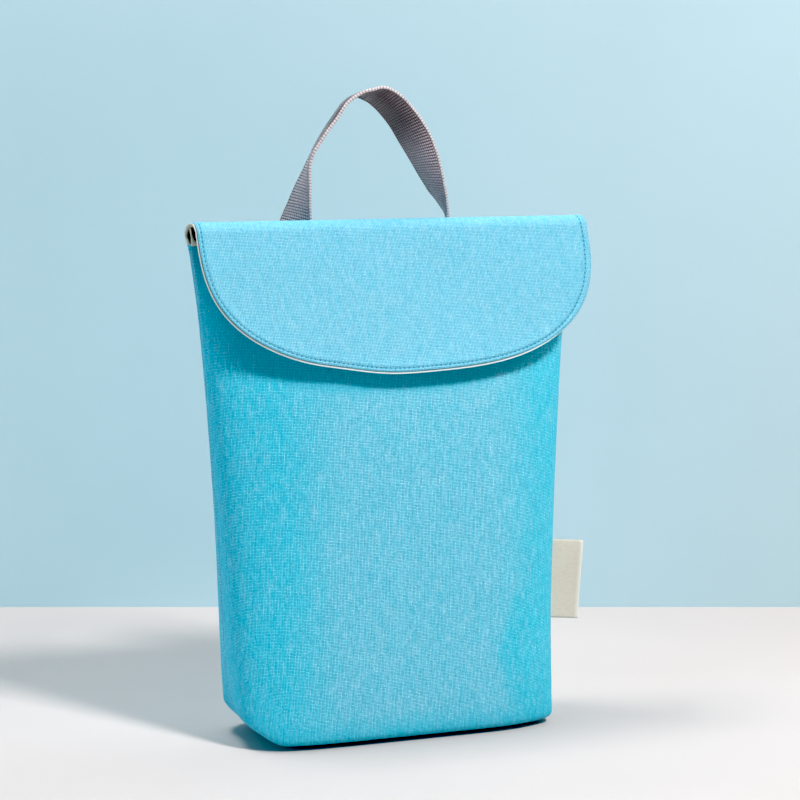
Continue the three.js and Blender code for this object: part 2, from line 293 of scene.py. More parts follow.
def makeSkyCloth():
    material, tree = newMaterial("skyMelange")
    u, v = flatPlace(tree)

    def streak(kind, across, along):
        return streaks(tree, across, along, *sky[kind])

    # no thread runs quite straight or keeps its width
    across = u + sky["uneven"] * (streak("warpSway", u, v) - 0.5)
    along = v + sky["uneven"] * (streak("weftSway", v, u) - 0.5)
    warp, weft, onTop, height = plainWeave(tree, across, along, sky["thread"])
    # short lengths of paler yarn, seen where their thread lies on top
    dash = shown(onTop, streak("warpDash", warp, v), streak("weftDash", weft, u))
    warpTone = streak("warpTone", warp, v)
    tone = sky["toneShare"] * shown(onTop, warpTone, streak("weftTone", weft, u))
    for kind in ("slub", "cloud"):
        tone = tone + sky[kind + "Share"] * streak(kind, u, v)
    tone = tone + sky["dashShare"] * dash
    paintedShade = tree.reading("paintedShade")
    calm = (1 - paintedShade) ** 2.0  # seams and shaded cloth show less of the melange
    tone = 0.5 + calm * (tone - 0.5)
    colours = [sky[shade] for shade in ("deep", "mean", "light")]
    colour = tree.ramp(tone, *zip((0.5 - sky["spread"], 0.5, 0.5 + sky["spread"]), colours))
    # paler where wear and painted highlight are marked, darker where painted shade is marked
    paintedPale = tree.reading("wearAndHighlight") * (sky["paleLeast"] + sky["paleRise"] * warpTone)
    colour = tree.mixColour(tree.sum("MINIMUM", paintedPale, sky["paleMost"]), colour, sky["wearAndHighlight"])
    colour = tree.mixColour(paintedShade, colour, sky["paintedShade"])
    # painted shade down between the threads, with the yarn's paler dashes
    shade = sky["weaveShade"] * (height - sky["meanHeight"]) + sky["dashShade"] * (dash - 0.5)
    shades = [1 + tint * calm * shade for tint in sky["shadeTint"]]
    finishMaterial(tree, {
        "Base Color": tree.mixColour(1.0, colour, pair(tree, *shades), "MULTIPLY"),
        "Roughness": 0.76 - 0.1 * height,
        "Specular IOR Level": 0.45,
        "Sheen Weight": 0.03,
        "Sheen Roughness": 0.5,
        "Normal": tree.bump(0.4, 0.0002, height),
    })
    return material


webbing = {
    "rib": 1.45, "bundle": 1.3, "strand": 0.4, "slant": 0.7, "fibre": (0.6, 2.5, 3.3),  # mm
    "gap": (0.080, 0.066, 0.070), "ridge": (0.36, 0.285, 0.30), "core": (0.13, 0.10, 0.103),
    "turn": (0.34, 0.285, 0.29), "selvage": (0.76, 0.67, 0.67), "edge": (9.1, 0.6),
    "top": 130, "pale": 1.45, "paleFrom": (26, 18),  # painted light: paler towards the bag, where the legs face away from the lamps
}


def makeWebbing(name, dark, light):
    material, tree = newMaterial(name)
    across, along = tree.reading("across"), tree.reading("along")
    twist = tree.wave(across + along * webbing["slant"], webbing["strand"])  # strands laid at a slant
    strands = 0.7 * tree.wave(across, webbing["bundle"]) + 0.3 * twist
    fibre = streaks(tree, across, along, *webbing["fibre"])
    pick = tree.wave(along, webbing["rib"])  # the weft turns round the edge at each rib
    colour = tree.ramp(0.7 * strands + 0.5 * fibre - 0.08, (0.2, dark), (0.85, light))
    # painted light: the ends of the webbing are brightened
    fromTop = tree.sum("ABSOLUTE", along - webbing["top"])
    litEnds = 1 + webbing["pale"] * tree.past(fromTop, *webbing["paleFrom"])
    colour = tree.mixColour(1.0, colour, pair(tree, litEnds, litEnds, litEnds), "MULTIPLY")
    edge = tree.past(tree.sum("ABSOLUTE", across), *webbing["edge"])
    stops = [(0.3, webbing["turn"]), (0.75, webbing["selvage"])]
    edgeColour = tree.ramp(0.55 * pick + 0.6 * fibre - 0.05, *stops)
    height = (1 - edge) * strands + edge * pick
    finishMaterial(tree, {
        "Base Color": tree.mixColour(edge, colour, edgeColour),
        "Roughness": 0.66 - 0.2 * height,
        "Sheen Weight": 0.7,
        "Sheen Roughness": 0.3,
        "Normal": tree.bump(0.6, 0.0003, height),
    })
    return material


creamCloth = {
    "thread": 0.45, "streak": (2.2, 7.0, 2.2), "streakShare": 0.75,
    "stops": [(0.25, (0.58, 0.52, 0.41)), (0.6, (0.82, 0.78, 0.68))],
    # pale for painted highlight along the flap's edge, dark for painted shade inside the fold and at the left
    # end
    "marks": {"wearAndHighlight": (0.87, 0.97, 0.98), "paintedShade": (0.08, 0.06, 0.035)},
    "rough": 0.92, "smooth": 0.1, "sheen": 0.1, "bump": (0.25, 0.00015),
}
creamRibbon = {
    "rib": 0.5, "streak": (1.6, 0.7, 5.5), "streakShare": 0.7,
    "stops": [(0.2, (0.67, 0.61, 0.50)), (0.62, (0.79, 0.73, 0.61))],
    # pale for a painted highlight along the fold
    "marks": {"wearAndHighlight": (0.93, 0.89, 0.80)},
    "rough": 0.7, "smooth": 0.12, "sheen": 0.15, "bump": (0.3, 0.0001),
}


def makeCream(name, cloth):
    material, tree = newMaterial(name)
    u, v = flatPlace(tree)
    height = tree.wave(v, cloth["rib"]) if "rib" in cloth else plainWeave(tree, u, v, cloth["thread"])[-1]
    share = cloth["streakShare"]
    # tone partly from the yarn's streaks, partly painted shade down between the threads
    tone = share * streaks(tree, u, v, *cloth["streak"]) + (1 - share) * height
    colour = tree.ramp(tone, *cloth["stops"])
    for mark, shade in cloth["marks"].items():
        colour = tree.mixColour(tree.reading(mark), colour, shade)
    finishMaterial(tree, {
        "Base Color": colour,
        "Roughness": cloth["rough"] - cloth["smooth"] * height,
        "Sheen Weight": cloth["sheen"],
        "Normal": tree.bump(*cloth["bump"], height),
    })
    return material


def objectNoise(tree, scale, detail):
    place = tree.get("ShaderNodeTexCoord", out=3)
    return tree.get("ShaderNodeTexNoise", {"Vector": place, "Scale": scale, "Detail": detail})


def makeThread(name, dark, light):
    material, tree = newMaterial(name)
    ply = objectNoise(tree, 2600.0, 1.0)
    colour = tree.ramp(ply, (0.3, dark), (0.7, light))
    finishMaterial(tree, {"Base Color": colour, "Roughness": 0.6 + 0.2 * ply, "Sheen Weight": 0.2})
    return material


skyMelange = makeSkyCloth()
creamLining = makeCream("creamLining", creamCloth)
webbingRib = makeWebbing("webbingRib", webbing["gap"], webbing["ridge"])
webbingCore = makeWebbing("webbingCore", webbing["gap"], webbing["core"])
ribbonWeave = makeCream("creamRibbon", creamRibbon)
skyThread = makeThread("skyThread", (0.02, 0.30, 0.45), (0.06, 0.42, 0.60))
# dark balls at the needle holes: painted shade
needleShade = makeThread("needleShade", (0.002, 0.07, 0.12), (0.004, 0.11, 0.18))
greyThread = makeThread("greyThread", (0.06, 0.06, 0.07), (0.17, 0.16, 0.18))
print("materials made")


# the pouch: rings of cloth from the base to the mouth

pouch = {
    "height": 263, "mouth": 252, "edgeRadius": 4.5, "backSeam": 26, "wall": 1.4,
    "tuck": 3, "tuckHeight": 40, "tuckReach": 14,
    "lift": 19, "liftFrom": 62, "liftHeight": 50,  # the left end of the base stands off the floor
    "sideHang": (4.5, 1, 0.3),  # and the side's own foot hangs below it
    "squareRight": 2.6, "squareHeight": 70,
    "belly": 2.3, "bellyHeight": 30,  # the slack base hangs lower than its rim
    # painted shade along the foot, next to the floor
    "footDark": (0.2, 0, 8),
    "columns": 90, "levels": 118, "edgeRings": 10, "ringGap": 0.4,
    "baseRings": (0.96, 0.9, 0.83, 0.75, 0.62, 0.45, 0.25, 0.1), "baseFlat": -60,
    # height, half width, depth to the front and to the back, squareness
    "sections": [
        (0, 84, 35.5, 31, 4.4),
        (60, 87.2, 35, 30.5, 3.4),
        (120, 90.4, 33.2, 28.6, 2.9),
        (165, 93.4, 30, 25.6, 2.6),
        (195, 95.8, 25, 21.6, 2.4),
        (225, 98.9, 15.2, 15.2, 2.2),
        (252, 103.2, 6, 6, 2),
    ],
}


def sectionAt(z):
    names = ("half", "front", "back", "square")
    return {name: fromTable(pouch["sections"], 0, z, column + 1) for column, name in enumerate(names)}


def sectionPoint(section, angle, z):
    across, deep = cos(angle), sin(angle)
    squarer = pouch["squareRight"] * near(z, pouch["squareHeight"]) if across > 0 else 0
    power = 2 / (section["square"] + squarer)
    depth = section["front"] if deep < 0 else section["back"]
    x = section["half"] * copysign(abs(across) ** power, across)
    y = depth * copysign(abs(deep) ** power, deep)
    tuck = pouch["tuck"] * near(z, pouch["tuckHeight"]) * ease(1 - abs(y) / pouch["tuckReach"])
    return x - copysign(tuck, x), y


def halfSection(section, z, start):
    fine = 400
    line = [sectionPoint(section, start + pi * i / fine, z) for i in range(fine + 1)]
    return line, lengthsOf(line)[-1]


def ringSection(z):
    # the section with the rounded edge of the base taken off
    section = sectionAt(z)
    radius = pouch["edgeRadius"]
    under = max(radius - z, 0)
    for key in ("half", "front", "back"):
        section[key] -= radius - sqrt(radius ** 2 - under ** 2)
    return section


def standing(x, z, rim):
    # the lifted left end and the slack base
    beyond = clamp((-x - pouch["liftFrom"]) / (pouch["sections"][0][1] - pouch["liftFrom"]))
    lift = max(pouch["lift"] * beyond ** 2 - hump(beyond, *pouch["sideHang"]), 0)
    return z + lift * near(z, pouch["liftHeight"]) + pouch["belly"] * rim * near(z, pouch["bellyHeight"])


seam = {
    "close": [0.35, 0.7, 1.1, 1.6, 2.3, 3.2, 4.5, 6.5], "closeLow": 6,  # close columns and rings beside it
    # how much, how far from the seam and how wide
    "roll": (0.3, 2.2, 1.1), "groove": (-0.8, 0, 0.85), "pale": (0.55, 1.7, 0.8), "dark": (0.75, 0, 0.45),
    "footFade": 16, "mouthFade": 6, "lowFrom": (12, 14),
}


def halfRing(section, z, start):
    # half a ring from seam to seam, with close columns beside the seams
    line, girth = halfSection(section, z, start)
    close = seam["close"]
    stops = [0.0] + close
    stops += evenly(close[-1], girth - close[-1], pouch["columns"])[1:-1]
    stops += [girth - s for s in reversed(close)]
    return pointsAt(line, stops), stops, girth


def ringHeights():
    radius, low = pouch["edgeRadius"], pouch["backSeam"]
    count = pouch["edgeRings"]
    heights = [radius * (1 - cos(i / count * pi / 2)) for i in range(count)]
    heights += evenly(radius, pouch["mouth"], pouch["levels"])
    close = [0] + seam["close"][:seam["closeLow"]]
    heights = [z for z in heights if abs(z - low) > close[-1] + pouch["ringGap"]]
    return sorted(heights + [low + s for s in close] + [low - s for s in close[1:]])


def seamShape(distance):
    # how far a seam moves the cloth, how pale it makes the ridges (wear and painted highlight) and how dark
    # the groove (painted shade)
    roll, groove, pale, dark = [hump(distance, *seam[kind]) for kind in ("roll", "groove", "pale", "dark")]
    return roll + groove, pale, dark


def seamsAt(toSide, z, onBack):
    # the side seam, and on the back the low seam, which fades before it reaches the sides
    deep, pale, dark = seamShape(toSide)
    if onBack:
        inner = past(toSide, *seam["lowFrom"])
        low = [inner * value for value in seamShape(abs(z - pouch["backSeam"]))]
        deep, pale, dark = deep + low[0], max(pale, low[1]), max(dark, low[2])
    free = ease(z / seam["footFade"]) * ease((pouch["mouth"] - z) / seam["mouthFade"])
    return deep * free, pale * free, dark * free


front = {
    "wave": 0.45, "waveFoot": 14, "waveMouth": 8,
    "waves": [(1, 46, 73.6, 5, 0), (0.22, 17, 34, 0, 9)],  # share, width, height and place in the noise
    "creaseFoot": (50, 0), "creaseTop": (88, 80), "creaseRight": 0.11, "creaseLeft": 0.05, "creaseSoft": 4,
    "coverFrom": 176, "coverOver": 6, "coverRise": 24, "coverHalf": 90, "coverShift": 5, "coverPower": 3.4,
    "flapShadow": 0.2,  # painted shadow of the flap on the cloth under it
    # painted highlight where the front faces the light
    "paintedPale": 0.4, "highlightFrom": 8, "highlightHalf": 38, "highlightOver": 36, "highlightFoot": 18,
    "slackFrom": 45, "slackMiddle": 42, "slackBend": 75, "slackOver": 9, "slackUnlit": 0.9,
}


def clothWave(x, y, z):
    wave = 0
    for share, size, tall, startY, startZ in front["waves"]:
        place = Vector((x / size, y / size + startY, z / tall + startZ))
        wave += noise.noise(place) * front["wave"] * share
    return wave * ease(z / front["waveFoot"]) * ease((pouch["mouth"] - z) / front["waveMouth"] + 0.1)


def cornerCrease(x, z, out):
    # the front falls back a little beyond a slanting crease at each lower corner
    foot, top = front["creaseFoot"], front["creaseTop"]
    beyond = (abs(x) - foot[0]) * (top[1] - foot[1]) - (z - foot[1]) * (top[0] - foot[0])
    beyond /= dist(foot, top)
    fall = (beyond + sqrt(beyond ** 2 + front["creaseSoft"] ** 2)) / 2
    slope = front["creaseRight"] if x > 0 else front["creaseLeft"]
    return -slope * fall * clamp(-out.y) ** 3 * ease((abs(x) - foot[0] * 0.5) / foot[0])


def covered(x, z):
    # 1 where the flap's curve and its shadow lie over the front
    aside = abs(x + front["coverShift"]) / front["coverHalf"]
    edge = front["coverFrom"] + front["coverRise"] * aside ** front["coverPower"]
    return past(z, edge, front["coverOver"])


def paintedHighlight(x, z, out):
    # painted highlight: the bulging front, facing the light, is paler than its sides, its foot and the slack
    # lower right corner, and paler than the cloth in the flap's shadow
    reach = front["highlightHalf"] + front["highlightOver"] - abs(x - front["highlightFrom"])
    litShare = ease(z / front["highlightFoot"]) * (1 - covered(x, z))
    slack = front["slackFrom"] + (z - front["slackMiddle"]) ** 2 / front["slackBend"]
    litShare *= 1 - front["slackUnlit"] * past(x, slack, front["slackOver"])
    return front["paintedPale"] * ease(reach / front["highlightOver"]) * clamp(-out.y) ** 2 * litShare


def makePouch():
    heights = ringHeights()
    points, flat, grid = [], [], []
    marks = {"wearAndHighlight": [], "paintedShade": []}
    rise = 0
    before = None
    for z in heights:
        section = ringSection(z)
        rise += dist((z, section["front"]), before) if before else 0
        before = (z, section["front"])
        frontHalf, backHalf = [halfRing(section, z, start) for start in (pi, 0)]
        count = len(frontHalf[0]) - 1
        loop = frontHalf[0][:-1] + backHalf[0][:-1]
        row = []
        for i, (x, y) in enumerate(loop):
            a, b = loop[i - 1], loop[(i + 1) % len(loop)]
            out = Vector((b[1] - a[1], a[0] - b[0])).normalized()
            onBack = i >= count
            stops, girth = backHalf[1:] if onBack else frontHalf[1:]
            stop = stops[i % count]
            deep, wearAndHighlight, paintedShade = seamsAt(min(stop, girth - stop), z, onBack)
            push = deep + clothWave(x, y, z) + cornerCrease(x, z, out)
            x, y = x + out.x * push, y + out.y * push
            row.append(len(points))
            points.append((x, y, standing(x, z, 1)))
            flat.append((stop - girth / 2, rise, girth / 2))
            # paler for seam wear and painted highlight; darker for painted shade in the seams' grooves, along
            # the foot and in the flap's shadow
            marks["wearAndHighlight"].append(max(wearAndHighlight, paintedHighlight(x, z, out)))
            flapShadow = front["flapShadow"] * covered(x, z) * clamp(-out.y)
            marks["paintedShade"].append(max(paintedShade, hump(z, *pouch["footDark"]), flapShadow))
        grid.append(row)

    # the base closes the lowest ring towards its middle
    ring = len(grid[0])
    rows = [grid[0]]
    lowest = [points[i] for i in grid[0]]
    for share in pouch["baseRings"]:
        rows.append(list(range(len(points), len(points) + ring)))
        rim = ease((share - 0.5) * 2)
        points += [(x * share, y * share, standing(x * share, 0, rim)) for x, y, z in lowest]
    middle = len(points)
    points.append((0, 0, 0))
    for values in marks.values():
        values += [0.0] * (len(points) - len(values))

    sides = {"front": ([], []), "back": ([], [])}
    for level in range(len(grid) - 1):
        for i in range(ring):
            j = (i + 1) % ring
            face = (grid[level][i], grid[level][j], grid[level + 1][j], grid[level + 1][i])
            owner = "back" if i >= count and heights[level] >= pouch["backSeam"] else "front"
            corners = [flat[k][:2] for k in face]
            if (i + 1) % count == 0:  # the far seam of this half is the near seam of the other
                corners[1] = (flat[face[0]][2], corners[1][1])
                corners[2] = (flat[face[3]][2], corners[2][1])
            sides[owner][0].append(face)
            sides[owner][1].append(corners)
    baseFaces = [(outer[(i + 1) % ring], outer[i], inner[i], inner[(i + 1) % ring])
                 for outer, inner in zip(rows, rows[1:]) for i in range(ring)]
    baseFaces += [(rows[-1][(i + 1) % ring], rows[-1][i], middle) for i in range(ring)]
    sides["front"][0].extend(baseFaces)
    for face in baseFaces:
        sides["front"][1].append([(points[k][0], points[k][1] + pouch["baseFlat"]) for k in face])

    pieces = []
    for side, (faces, corners) in sides.items():
        used = sorted({i for face in faces for i in face})
        place = {old: new for new, old in enumerate(used)}
        own = {mark: [values[i] for i in used] for mark, values in marks.items()}
        faces = [tuple(place[i] for i in face) for face in faces]
        materials = (skyMelange, creamLining)
        ownPoints = [points[i] for i in used]
        pieces.append(makePiece(side + "Panel", ownPoints, faces, corners, materials, own, pouch["wall"]))
    return pieces


frontPanel, backPanel = makePouch()
standFor(frontPanel, "sky_cloth", "front_panel")
standFor(backPanel, "sky_cloth", "back_panel")
print("pouch made, faces:", len(frontPanel.data.polygons), len(backPanel.data.polygons))


# the flap: root on the back panel, over the fold, down to the curved edge

flap = {
    "half": 103.4, "drop": 80.9, "slope": radians(17.5), "curl": 2, "shift": 2.3, "shear": 3.4,
    "acrossPower": 2.34, "downPower": 2.93, "cloth": 1.2, "offPanel": 0.6,
    "uneven": [(0.7, -10, 17), (-0.6, -40, 13)],  # not quite cut to the curve
    "foldRadius": 7.5, "foldY": -4, "rootLength": 24, "rootHalf": 95,
    "openFrom": (245, 10), "openBack": 7.8,  # the fold's ends stand open above the mouth
    "bulge": 4, "bulgeFrom": (70, 30),  # the left one more than the right
    "stitchIn": 1.8, "stitchInRight": 3.3, "rightFrom": (65, 35), "grooveDark": (0.35, 0, 0.45),
    # rolled edge, welt, groove and swell: how high, where as a share of the stitches' inset, how wide
    "edge": [(-0.45, 0, 0.55), (0.2, 0.5, 0.9), (-0.36, 1, 0.55), (0.16, 1.75, 1.4)],
    "slowWave": 0.6, "slowWide": 52, "slowLong": 38, "slowFrom": 30, "edgeWave": 0.5, "edgeWaveWide": 21,
    # painted highlight over the whole flap, and a little painted shade over it too
    "paintedPale": 0.58, "wholeShade": 0.13,
    "insets": [0, 0.3, 0.6, 0.9, 1.2, 1.5, 1.8, 2.1, 2.4, 2.7, 3.0, 3.3, 3.6, 4.0, 4.6, 5.8, 8],
    "edgeSteps": 320, "downRows": 26, "foldRows": 30, "rootRows": 12, "extra": 0, "tuck": 0,
}
flap["foldFront"] = flap["foldRadius"] * (pi / 2 - flap["slope"])
farFromEdge = 99


def backOfPouch(x, z):
    section = sectionAt(z)
    share = min(abs(x) / section["half"], 1)
    return section["back"] * (1 - share ** section["square"]) ** (1 / section["square"])


def flapPlace(x, length):
    radius, top = flap["foldRadius"], pouch["height"]
    if length < 0:
        turn = min(-length / radius, pi / 2)
        z = top - radius + radius * cos(turn) - (-length - radius * turn)
        onPanel = backOfPouch(x, min(z, pouch["mouth"])) + flap["cloth"] + flap["offPanel"]
        apart = past(z, *flap["openFrom"])
        back = flap["openBack"] + flap["bulge"] * past(-x, *flap["bulgeFrom"])
        onPanel = blend(onPanel, max(onPanel, back), apart)
        return Vector((x + flap["shift"], blend(flap["foldY"], onPanel, sin(turn)), z))
    turn = min(length, flap["foldFront"]) / radius
    run = length - radius * turn
    curl = flap["curl"] * (run / flap["drop"]) ** 2
    y = flap["foldY"] - radius * sin(turn) - run * sin(flap["slope"]) - curl
    z = top - radius + radius * cos(turn) - run * cos(flap["slope"])
    return Vector((x + flap["shift"] + flap["shear"] * length / flap["drop"], y, z))


def overFlap(x, length, lift):
    step = 0.02
    along = (flapPlace(x, length + step) - flapPlace(x, length - step)).normalized()
    return flapPlace(x, length) + Vector((0, along.z, -along.y)) * lift


def flapEdge(shape):
    # the curved edge on the flat cloth, from the left end of the fold to the right, in even steps
    fine = 1600
    half, drop, first = flap["half"] + shape["extra"], flap["drop"] + shape["extra"], flap["foldFront"]
    line = []
    for i in range(fine + 1):
        angle = pi * i / fine
        across, down = -cos(angle), sin(angle)
        x = half * copysign(abs(across) ** (2 / flap["acrossPower"]), across)
        x -= shape["tuck"] * past(x, *lining["tuckFrom"])
        uneven = sum(hump(x, *flaw) for flaw in flap["uneven"])
        line.append((x, first + (drop + uneven - first) * abs(down) ** (2 / flap["downPower"])))
    return [Vector(p) for p in pointsAt(line, evenly(0, lengthsOf(line)[-1], shape["edgeSteps"]))]


def insetEdge(edge, distances):
    # the edge moved in along its normals; its ends stay on the fold's front
    last = len(edge) - 1
    out = []
    for i, (point, distance) in enumerate(zip(edge, distances)):
        along = (edge[min(i + 1, last)] - edge[max(i - 1, 0)]).normalized()
        if i in (0, last):
            along = Vector((0, 1 if i == 0 else -1))
        out.append(point + Vector((along.y, -along.x)) * distance)
    return out


def stitchInset(x):
    # the seam runs farther from the edge at the right end
    return blend(flap["stitchIn"], flap["stitchInRight"], past(x, *flap["rightFrom"]))


def flapLift(x, length, toEdge):
    # the sewn edge, with slow waves over the rest
    inset = stitchInset(x)
    lift = sum(hump(toEdge, high, share * inset, wide) for high, share, wide in flap["edge"])
    slow = noise.noise(Vector((x / flap["slowWide"] + 3, length / flap["slowLong"], 2)))
    lift += slow * flap["slowWave"] * ease(length / flap["slowFrom"])
    hang = clamp(length / flap["drop"])
    return lift + flap["edgeWave"] * sin(x / flap["edgeWaveWide"] + 0.6) * hang ** 3


def flapMarks(x, length, toEdge):
    # painted highlight over the flap; painted shade in the stitched groove and faintly over the whole flap
    return flap["paintedPale"], max(hump(toEdge - stitchInset(x), *flap["grooveDark"]), flap["wholeShade"])


def makeFlapSheet(name, shape, liftAt, marksAt, material):
    half = flap["half"] + shape["extra"]
    root, insets, steps = shape["rootLength"], shape["insets"], shape["edgeSteps"]
    cut = flapEdge(shape)
    strips = [insetEdge(cut, [inset] * len(cut)) for inset in insets]
    innermost = strips[-1]
    points, flat, faces, keyed = [], [], [], {}
    marks = {"wearAndHighlight": [], "paintedShade": []}

    def vertex(x, length, toEdge):
        key = (round(x, 4), round(length, 4))
        if key not in keyed:
            keyed[key] = len(points)
            narrow = clamp(-length / root) ** 2
            wide = x * blend(1, shape["rootHalf"] / half, narrow)
            points.append(tuple(overFlap(wide, length, liftAt(x, length, toEdge))))
            flat.append((x, length))
            for mark, value in zip(marks.values(), marksAt(x, length, toEdge)):
                mark.append(value)
        return keyed[key]

    def addQuads(rows):
        for a, b in zip(rows, rows[1:]):
            for i in range(len(a) - 1):
                face = list(dict.fromkeys((a[i], a[i + 1], b[i + 1], b[i])))
                if len(face) > 2:
                    faces.append(tuple(face))

    stripRows = [[vertex(p.x, p.y, inset) for p in strip] for inset, strip in zip(insets, strips)]
    addQuads(stripRows)
    # from the innermost strip up to the fold's front
    first = flap["foldFront"]
    foldLine = [Vector((x, first)) for x in evenly(innermost[0].x, innermost[-1].x, steps)]
    rows = [stripRows[-1]]
    for t in evenly(0, 1, shape["downRows"])[1:]:
        between = [(low.lerp(high, t), (low - high).length * t) for low, high in zip(innermost, foldLine)]
        rows.append([vertex(p.x, p.y, insets[-1] + far) for p, far in between])
    addQuads(rows)
    # over the fold and down to the root
    across = [strip[0].x for strip in strips[:-1]] + [p.x for p in foldLine]
    across += [strip[-1].x for strip in strips[-2::-1]]
    foldEnd = -min(flap["foldRadius"] * pi / 2, root * 0.8)
    lengths = evenly(first, foldEnd, shape["foldRows"]) + evenly(foldEnd, -root, shape["rootRows"])[1:]
    addQuads([[vertex(x, length, half - abs(x)) for x in across] for length in lengths])
    return makePiece(name, points, faces, cornersOf(faces, flat), (material,), marks, shape["cloth"])


lining = {
    "cloth": 0.6, "under": 1.75, "edgeUnder": 0.5, "extra": 0.85, "rootLength": 18, "rootHalf": flap["half"],
    "dark": 0.95, "darkFrom": (0.6, 0.5), "darkTo": (-7, 3), "grey": 0.4, "greyTo": (-100, 70),
    "lip": (0.57, 0.22), "lipPale": (1, 0, 0.8), "tuck": 1.7, "tuckFrom": (45, 50),
    "insets": [0, 0.2, 0.4, 0.57, 0.68, 0.79, 1.2, 2.5, 5],
    "edgeSteps": 240, "downRows": 20, "foldRows": 24, "rootRows": 3,
}


def liningLift(x, length, toEdge):
    # its edge turns up a little beyond the flap's edge
    turned = past(toEdge, *lining["lip"])
    return flapLift(x, length, farFromEdge) - blend(lining["edgeUnder"], lining["under"], turned)


def liningMarks(x, length, toEdge):
    # painted shade: dark inside the fold and greyer towards the left end; painted highlight: pale along the
    # curved edge
    inside = past(toEdge, *lining["darkFrom"])
    inFold = past(-length, *lining["darkTo"])
    outOfShade = past(x, *lining["greyTo"])
    grey = lining["grey"] * (1 - outOfShade) * (1 - inFold)
    return hump(toEdge, *lining["lipPale"]) * (1 - inFold), max(lining["dark"] * inside * inFold, grey)


flapCloth = makeFlapSheet("flapCloth", flap, flapLift, flapMarks, skyMelange)
standFor(flapCloth, "sky_cloth", "flap")
print("flap made, faces:", len(flapCloth.data.polygons))
flapLining = makeFlapSheet("flapLining", lining, liningLift, liningMarks, creamLining)
standFor(flapLining, "cream_cloth", "flap_lining")
print("lining made")


# the hem: a folded strip over the front panel's top edge

hem = {
    "low": 251.2, "top": 253.6, "proud": 0.5, "wall": 1.4, "cloth": 0.6, "shortOfSeam": 2.0,
    "ear": (6.5, 0, 1.1),  # its ends stand up inside the fold
    "ripple": 0.12, "rippleStep": 0.9, "columns": 190, "rows": 6, "bendRows": 8, "flatRow": 1.6,
}


def hemProfile():
    # up the outside, over the top and down the inside, as places inward and upward
    bend = (hem["proud"] * 2 + hem["wall"]) / 2
    heights = evenly(hem["low"], hem["top"] - bend, hem["rows"])
    profile = [(-hem["proud"], z) for z in heights]
    for angle in evenly(0, pi, hem["bendRows"])[1:]:
        profile.append((hem["wall"] / 2 - bend * cos(angle), hem["top"] - bend + bend * sin(angle)))
    return profile + [(hem["wall"] + hem["proud"], z) for z in heights[-2::-1]]


def makeHem():
    section = sectionAt(pouch["mouth"])
    line, girth = halfSection(section, pouch["mouth"], pi)
    short = hem["shortOfSeam"]
    stops = evenly(short, girth - short, hem["columns"])
    line = pointsAt(line, stops)
    profile = hemProfile()
    points, flat = [], []
    for j, (inward, z) in enumerate(profile):
        swell = sectionAt(min(z, pouch["mouth"]))["front"] - section["front"]
        share = (z - hem["low"]) / (hem["top"] - hem["low"])
        for i, (x, y) in enumerate(line):
            a, b = line[max(i - 1, 0)], line[min(i + 1, len(line) - 1)]
            normal = Vector((a[1] - b[1], b[0] - a[0])).normalized()
            y -= swell * abs(y) / section["front"]
            ear = hump(min(stops[i], girth - stops[i]) - short, *hem["ear"])
            rise = ear * share + hem["ripple"] * sin(i * hem["rippleStep"])
            points.append((x + normal.x * inward, y + normal.y * inward, z + rise))
            flat.append((stops[i], j * hem["flatRow"]))
    faces = gridFaces(len(line), len(profile))
    return makePiece("mouthHem", points, faces, cornersOf(faces, flat), (creamLining,), thick=hem["cloth"])


mouthHem = makeHem()
standFor(mouthHem, "cream_cloth", "mouth_hem")
print("hem made")


# rows of small shapes along a path, set out by one node tree each

def startRowTree(name, numbers, materials):
    tree = bpy.data.node_groups.new(name, "GeometryNodeTree")
    tree.interface.new_socket("Geometry", in_out="OUTPUT", socket_type="NodeSocketGeometry")
    for kind, names in (("Geometry", ("Geometry",)), ("Float", numbers), ("Material", materials)):
        for socket in names:
            tree.interface.new_socket(socket, in_out="INPUT", socket_type="NodeSocket" + kind)
    t = Tree(tree)
    start = t.node("NodeGroupInput")
    asked = {socket.name: Sock(t, socket) for socket in start.outputs if socket.name}
    curve = t.get("GeometryNodeMeshToCurve", {0: asked["Geometry"]})
    spots = t.get("GeometryNodeResampleCurve", {"Curve": curve, "Length": asked["pitch"]}, mode="LENGTH")
    up = t.get("GeometryNodeInputNamedAttribute", {"Name": "clothUp"}, data_type="FLOAT_VECTOR")
    way = t.get("GeometryNodeInputTangent")
    turned = t.get("FunctionNodeAlignRotationToVector", {"Vector": up}, axis="Z")
    inputs = {"Rotation": turned, "Vector": way}
    turned = t.get("FunctionNodeAlignRotationToVector", inputs, axis="X", pivot_axis="Z")
    return t, asked, spots, turned


def endRowTree(t, placed, material, other=None):
    # plain geometry in one material, or in two where faces were marked
    plain = t.get("GeometryNodeRealizeInstances", {0: placed})
    plain = t.get("GeometryNodeSetMaterial", {"Geometry": plain, "Material": material})
    if other:
        marked = t.get("GeometryNodeInputNamedAttribute", {"Name": "marked"}, data_type="BOOLEAN")
        inputs = {"Geometry": plain, "Selection": marked, "Material": other}
        plain = t.get("GeometryNodeSetMaterial", inputs)
    end = t.node("NodeGroupOutput")
    t.tree.links.new(plain.socket, end.inputs[0])
    return t.tree


def keepMark(t, shape, name, value, kind="FLOAT", domain="POINT"):
    inputs = {"Geometry": shape, "Name": name, "Value": value}
    return t.get("GeometryNodeStoreNamedAttribute", inputs, data_type=kind, domain=domain)


def putOut(t, shape, spots, turned, size):
    inputs = {"Points": spots, "Instance": shape, "Rotation": turned, "Scale": pair(t, *size)}
    return t.get("GeometryNodeInstanceOnPoints", inputs)


